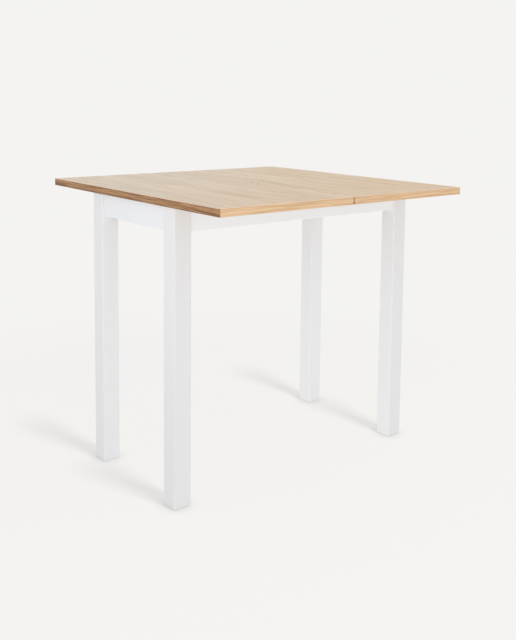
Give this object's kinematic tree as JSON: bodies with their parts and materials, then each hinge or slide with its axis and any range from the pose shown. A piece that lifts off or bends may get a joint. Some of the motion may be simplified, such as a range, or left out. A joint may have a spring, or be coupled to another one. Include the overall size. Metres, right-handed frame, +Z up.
{
  "type": "extending table",
  "caption": "Swivel-and-fold table: the flap folds over the main leaf and the folded top turns a quarter turn to cover a slim four-leg frame.",
  "frame": {"origin": "on the floor, under the centre of the opened top", "axes": "+X along the frame's long side, +Y along the seam away from the picture's viewer, +Z up"},
  "size_m": [0.8, 0.8, 0.7523],
  "materials": {
    "white_lacquer": "white satin lacquer",
    "oak_face": "light oak, matt",
    "oak_end_band": "warm oak edge band, matt",
    "oak_side_band": "dark oak edge band, matt",
    "raw_wood": "bare wood, sanded",
    "zinc_steel": "zinc plated",
    "pale_brass": "pale brass, satin",
    "nylon": "natural nylon",
    "felt": "grey pressed felt"
  },
  "bodies": {
    "frame": {"leg_front_left": "white_lacquer", "leg_front_right": "white_lacquer", "leg_back_left": "white_lacquer", "leg_back_right": "white_lacquer", "apron_front": "white_lacquer", "apron_back": "white_lacquer", "apron_left": "white_lacquer", "apron_right": "white_lacquer", "apron_dowels": "raw_wood", "corner_bracket_front_left": "zinc_steel", "corner_bracket_front_right": "zinc_steel", "corner_bracket_back_left": "zinc_steel", "corner_bracket_back_right": "zinc_steel", "hanger_bolts": "zinc_steel", "hanger_washers": "zinc_steel", "hanger_nuts": "zinc_steel", "bracket_screws": "zinc_steel", "foot_glide_front_left": "nylon", "foot_glide_front_right": "nylon", "foot_glide_back_left": "nylon", "foot_glide_back_right": "nylon", "slide_pad_front_left": "felt", "slide_pad_front_right": "felt", "slide_pad_back_left": "felt", "slide_pad_back_right": "felt", "pivot_board": "raw_wood", "pivot_cleat_front": "raw_wood", "pivot_cleat_back": "raw_wood", "board_screws": "zinc_steel", "lower_swivel_plate": "zinc_steel", "lower_plate_screws": "zinc_steel", "thrust_washer": "nylon"},
    "main_top": {"main_leaf": "oak_face", "main_band_front": "oak_end_band", "main_band_back": "oak_end_band", "main_band_outer": "oak_side_band", "main_band_seam": "oak_side_band", "upper_swivel_plate": "zinc_steel", "upper_plate_screws": "zinc_steel", "pivot_bolt": "zinc_steel", "pivot_washer": "zinc_steel", "pivot_spring_washer": "zinc_steel", "pivot_lock_nut": "zinc_steel", "stop_pin": "zinc_steel", "hinge_plate_main_1": "pale_brass", "hinge_plate_main_2": "pale_brass", "hinge_plate_main_3": "pale_brass", "hinge_pins": "pale_brass", "hinge_screws_main": "pale_brass"},
    "flap": {"flap_leaf": "oak_face", "flap_band_front": "oak_end_band", "flap_band_back": "oak_end_band", "flap_band_outer": "oak_side_band", "flap_band_seam": "oak_side_band", "hinge_plate_flap_1": "pale_brass", "hinge_plate_flap_2": "pale_brass", "hinge_plate_flap_3": "pale_brass", "hinge_screws_flap": "pale_brass"}
  },
  "joints": [
    {"name": "top_swivel", "type": "hinge", "parent": "frame", "child": "main_top", "pos_m": [0.096, 0.092, 0.731], "axis": [0, 0, -1], "range_deg": [0, 90]},
    {"name": "flap_fold", "type": "hinge", "parent": "main_top", "child": "flap", "pos_m": [0, 0, 0.7503], "axis": [0, 1, 0], "range_deg": [0, 180]}
  ]
}
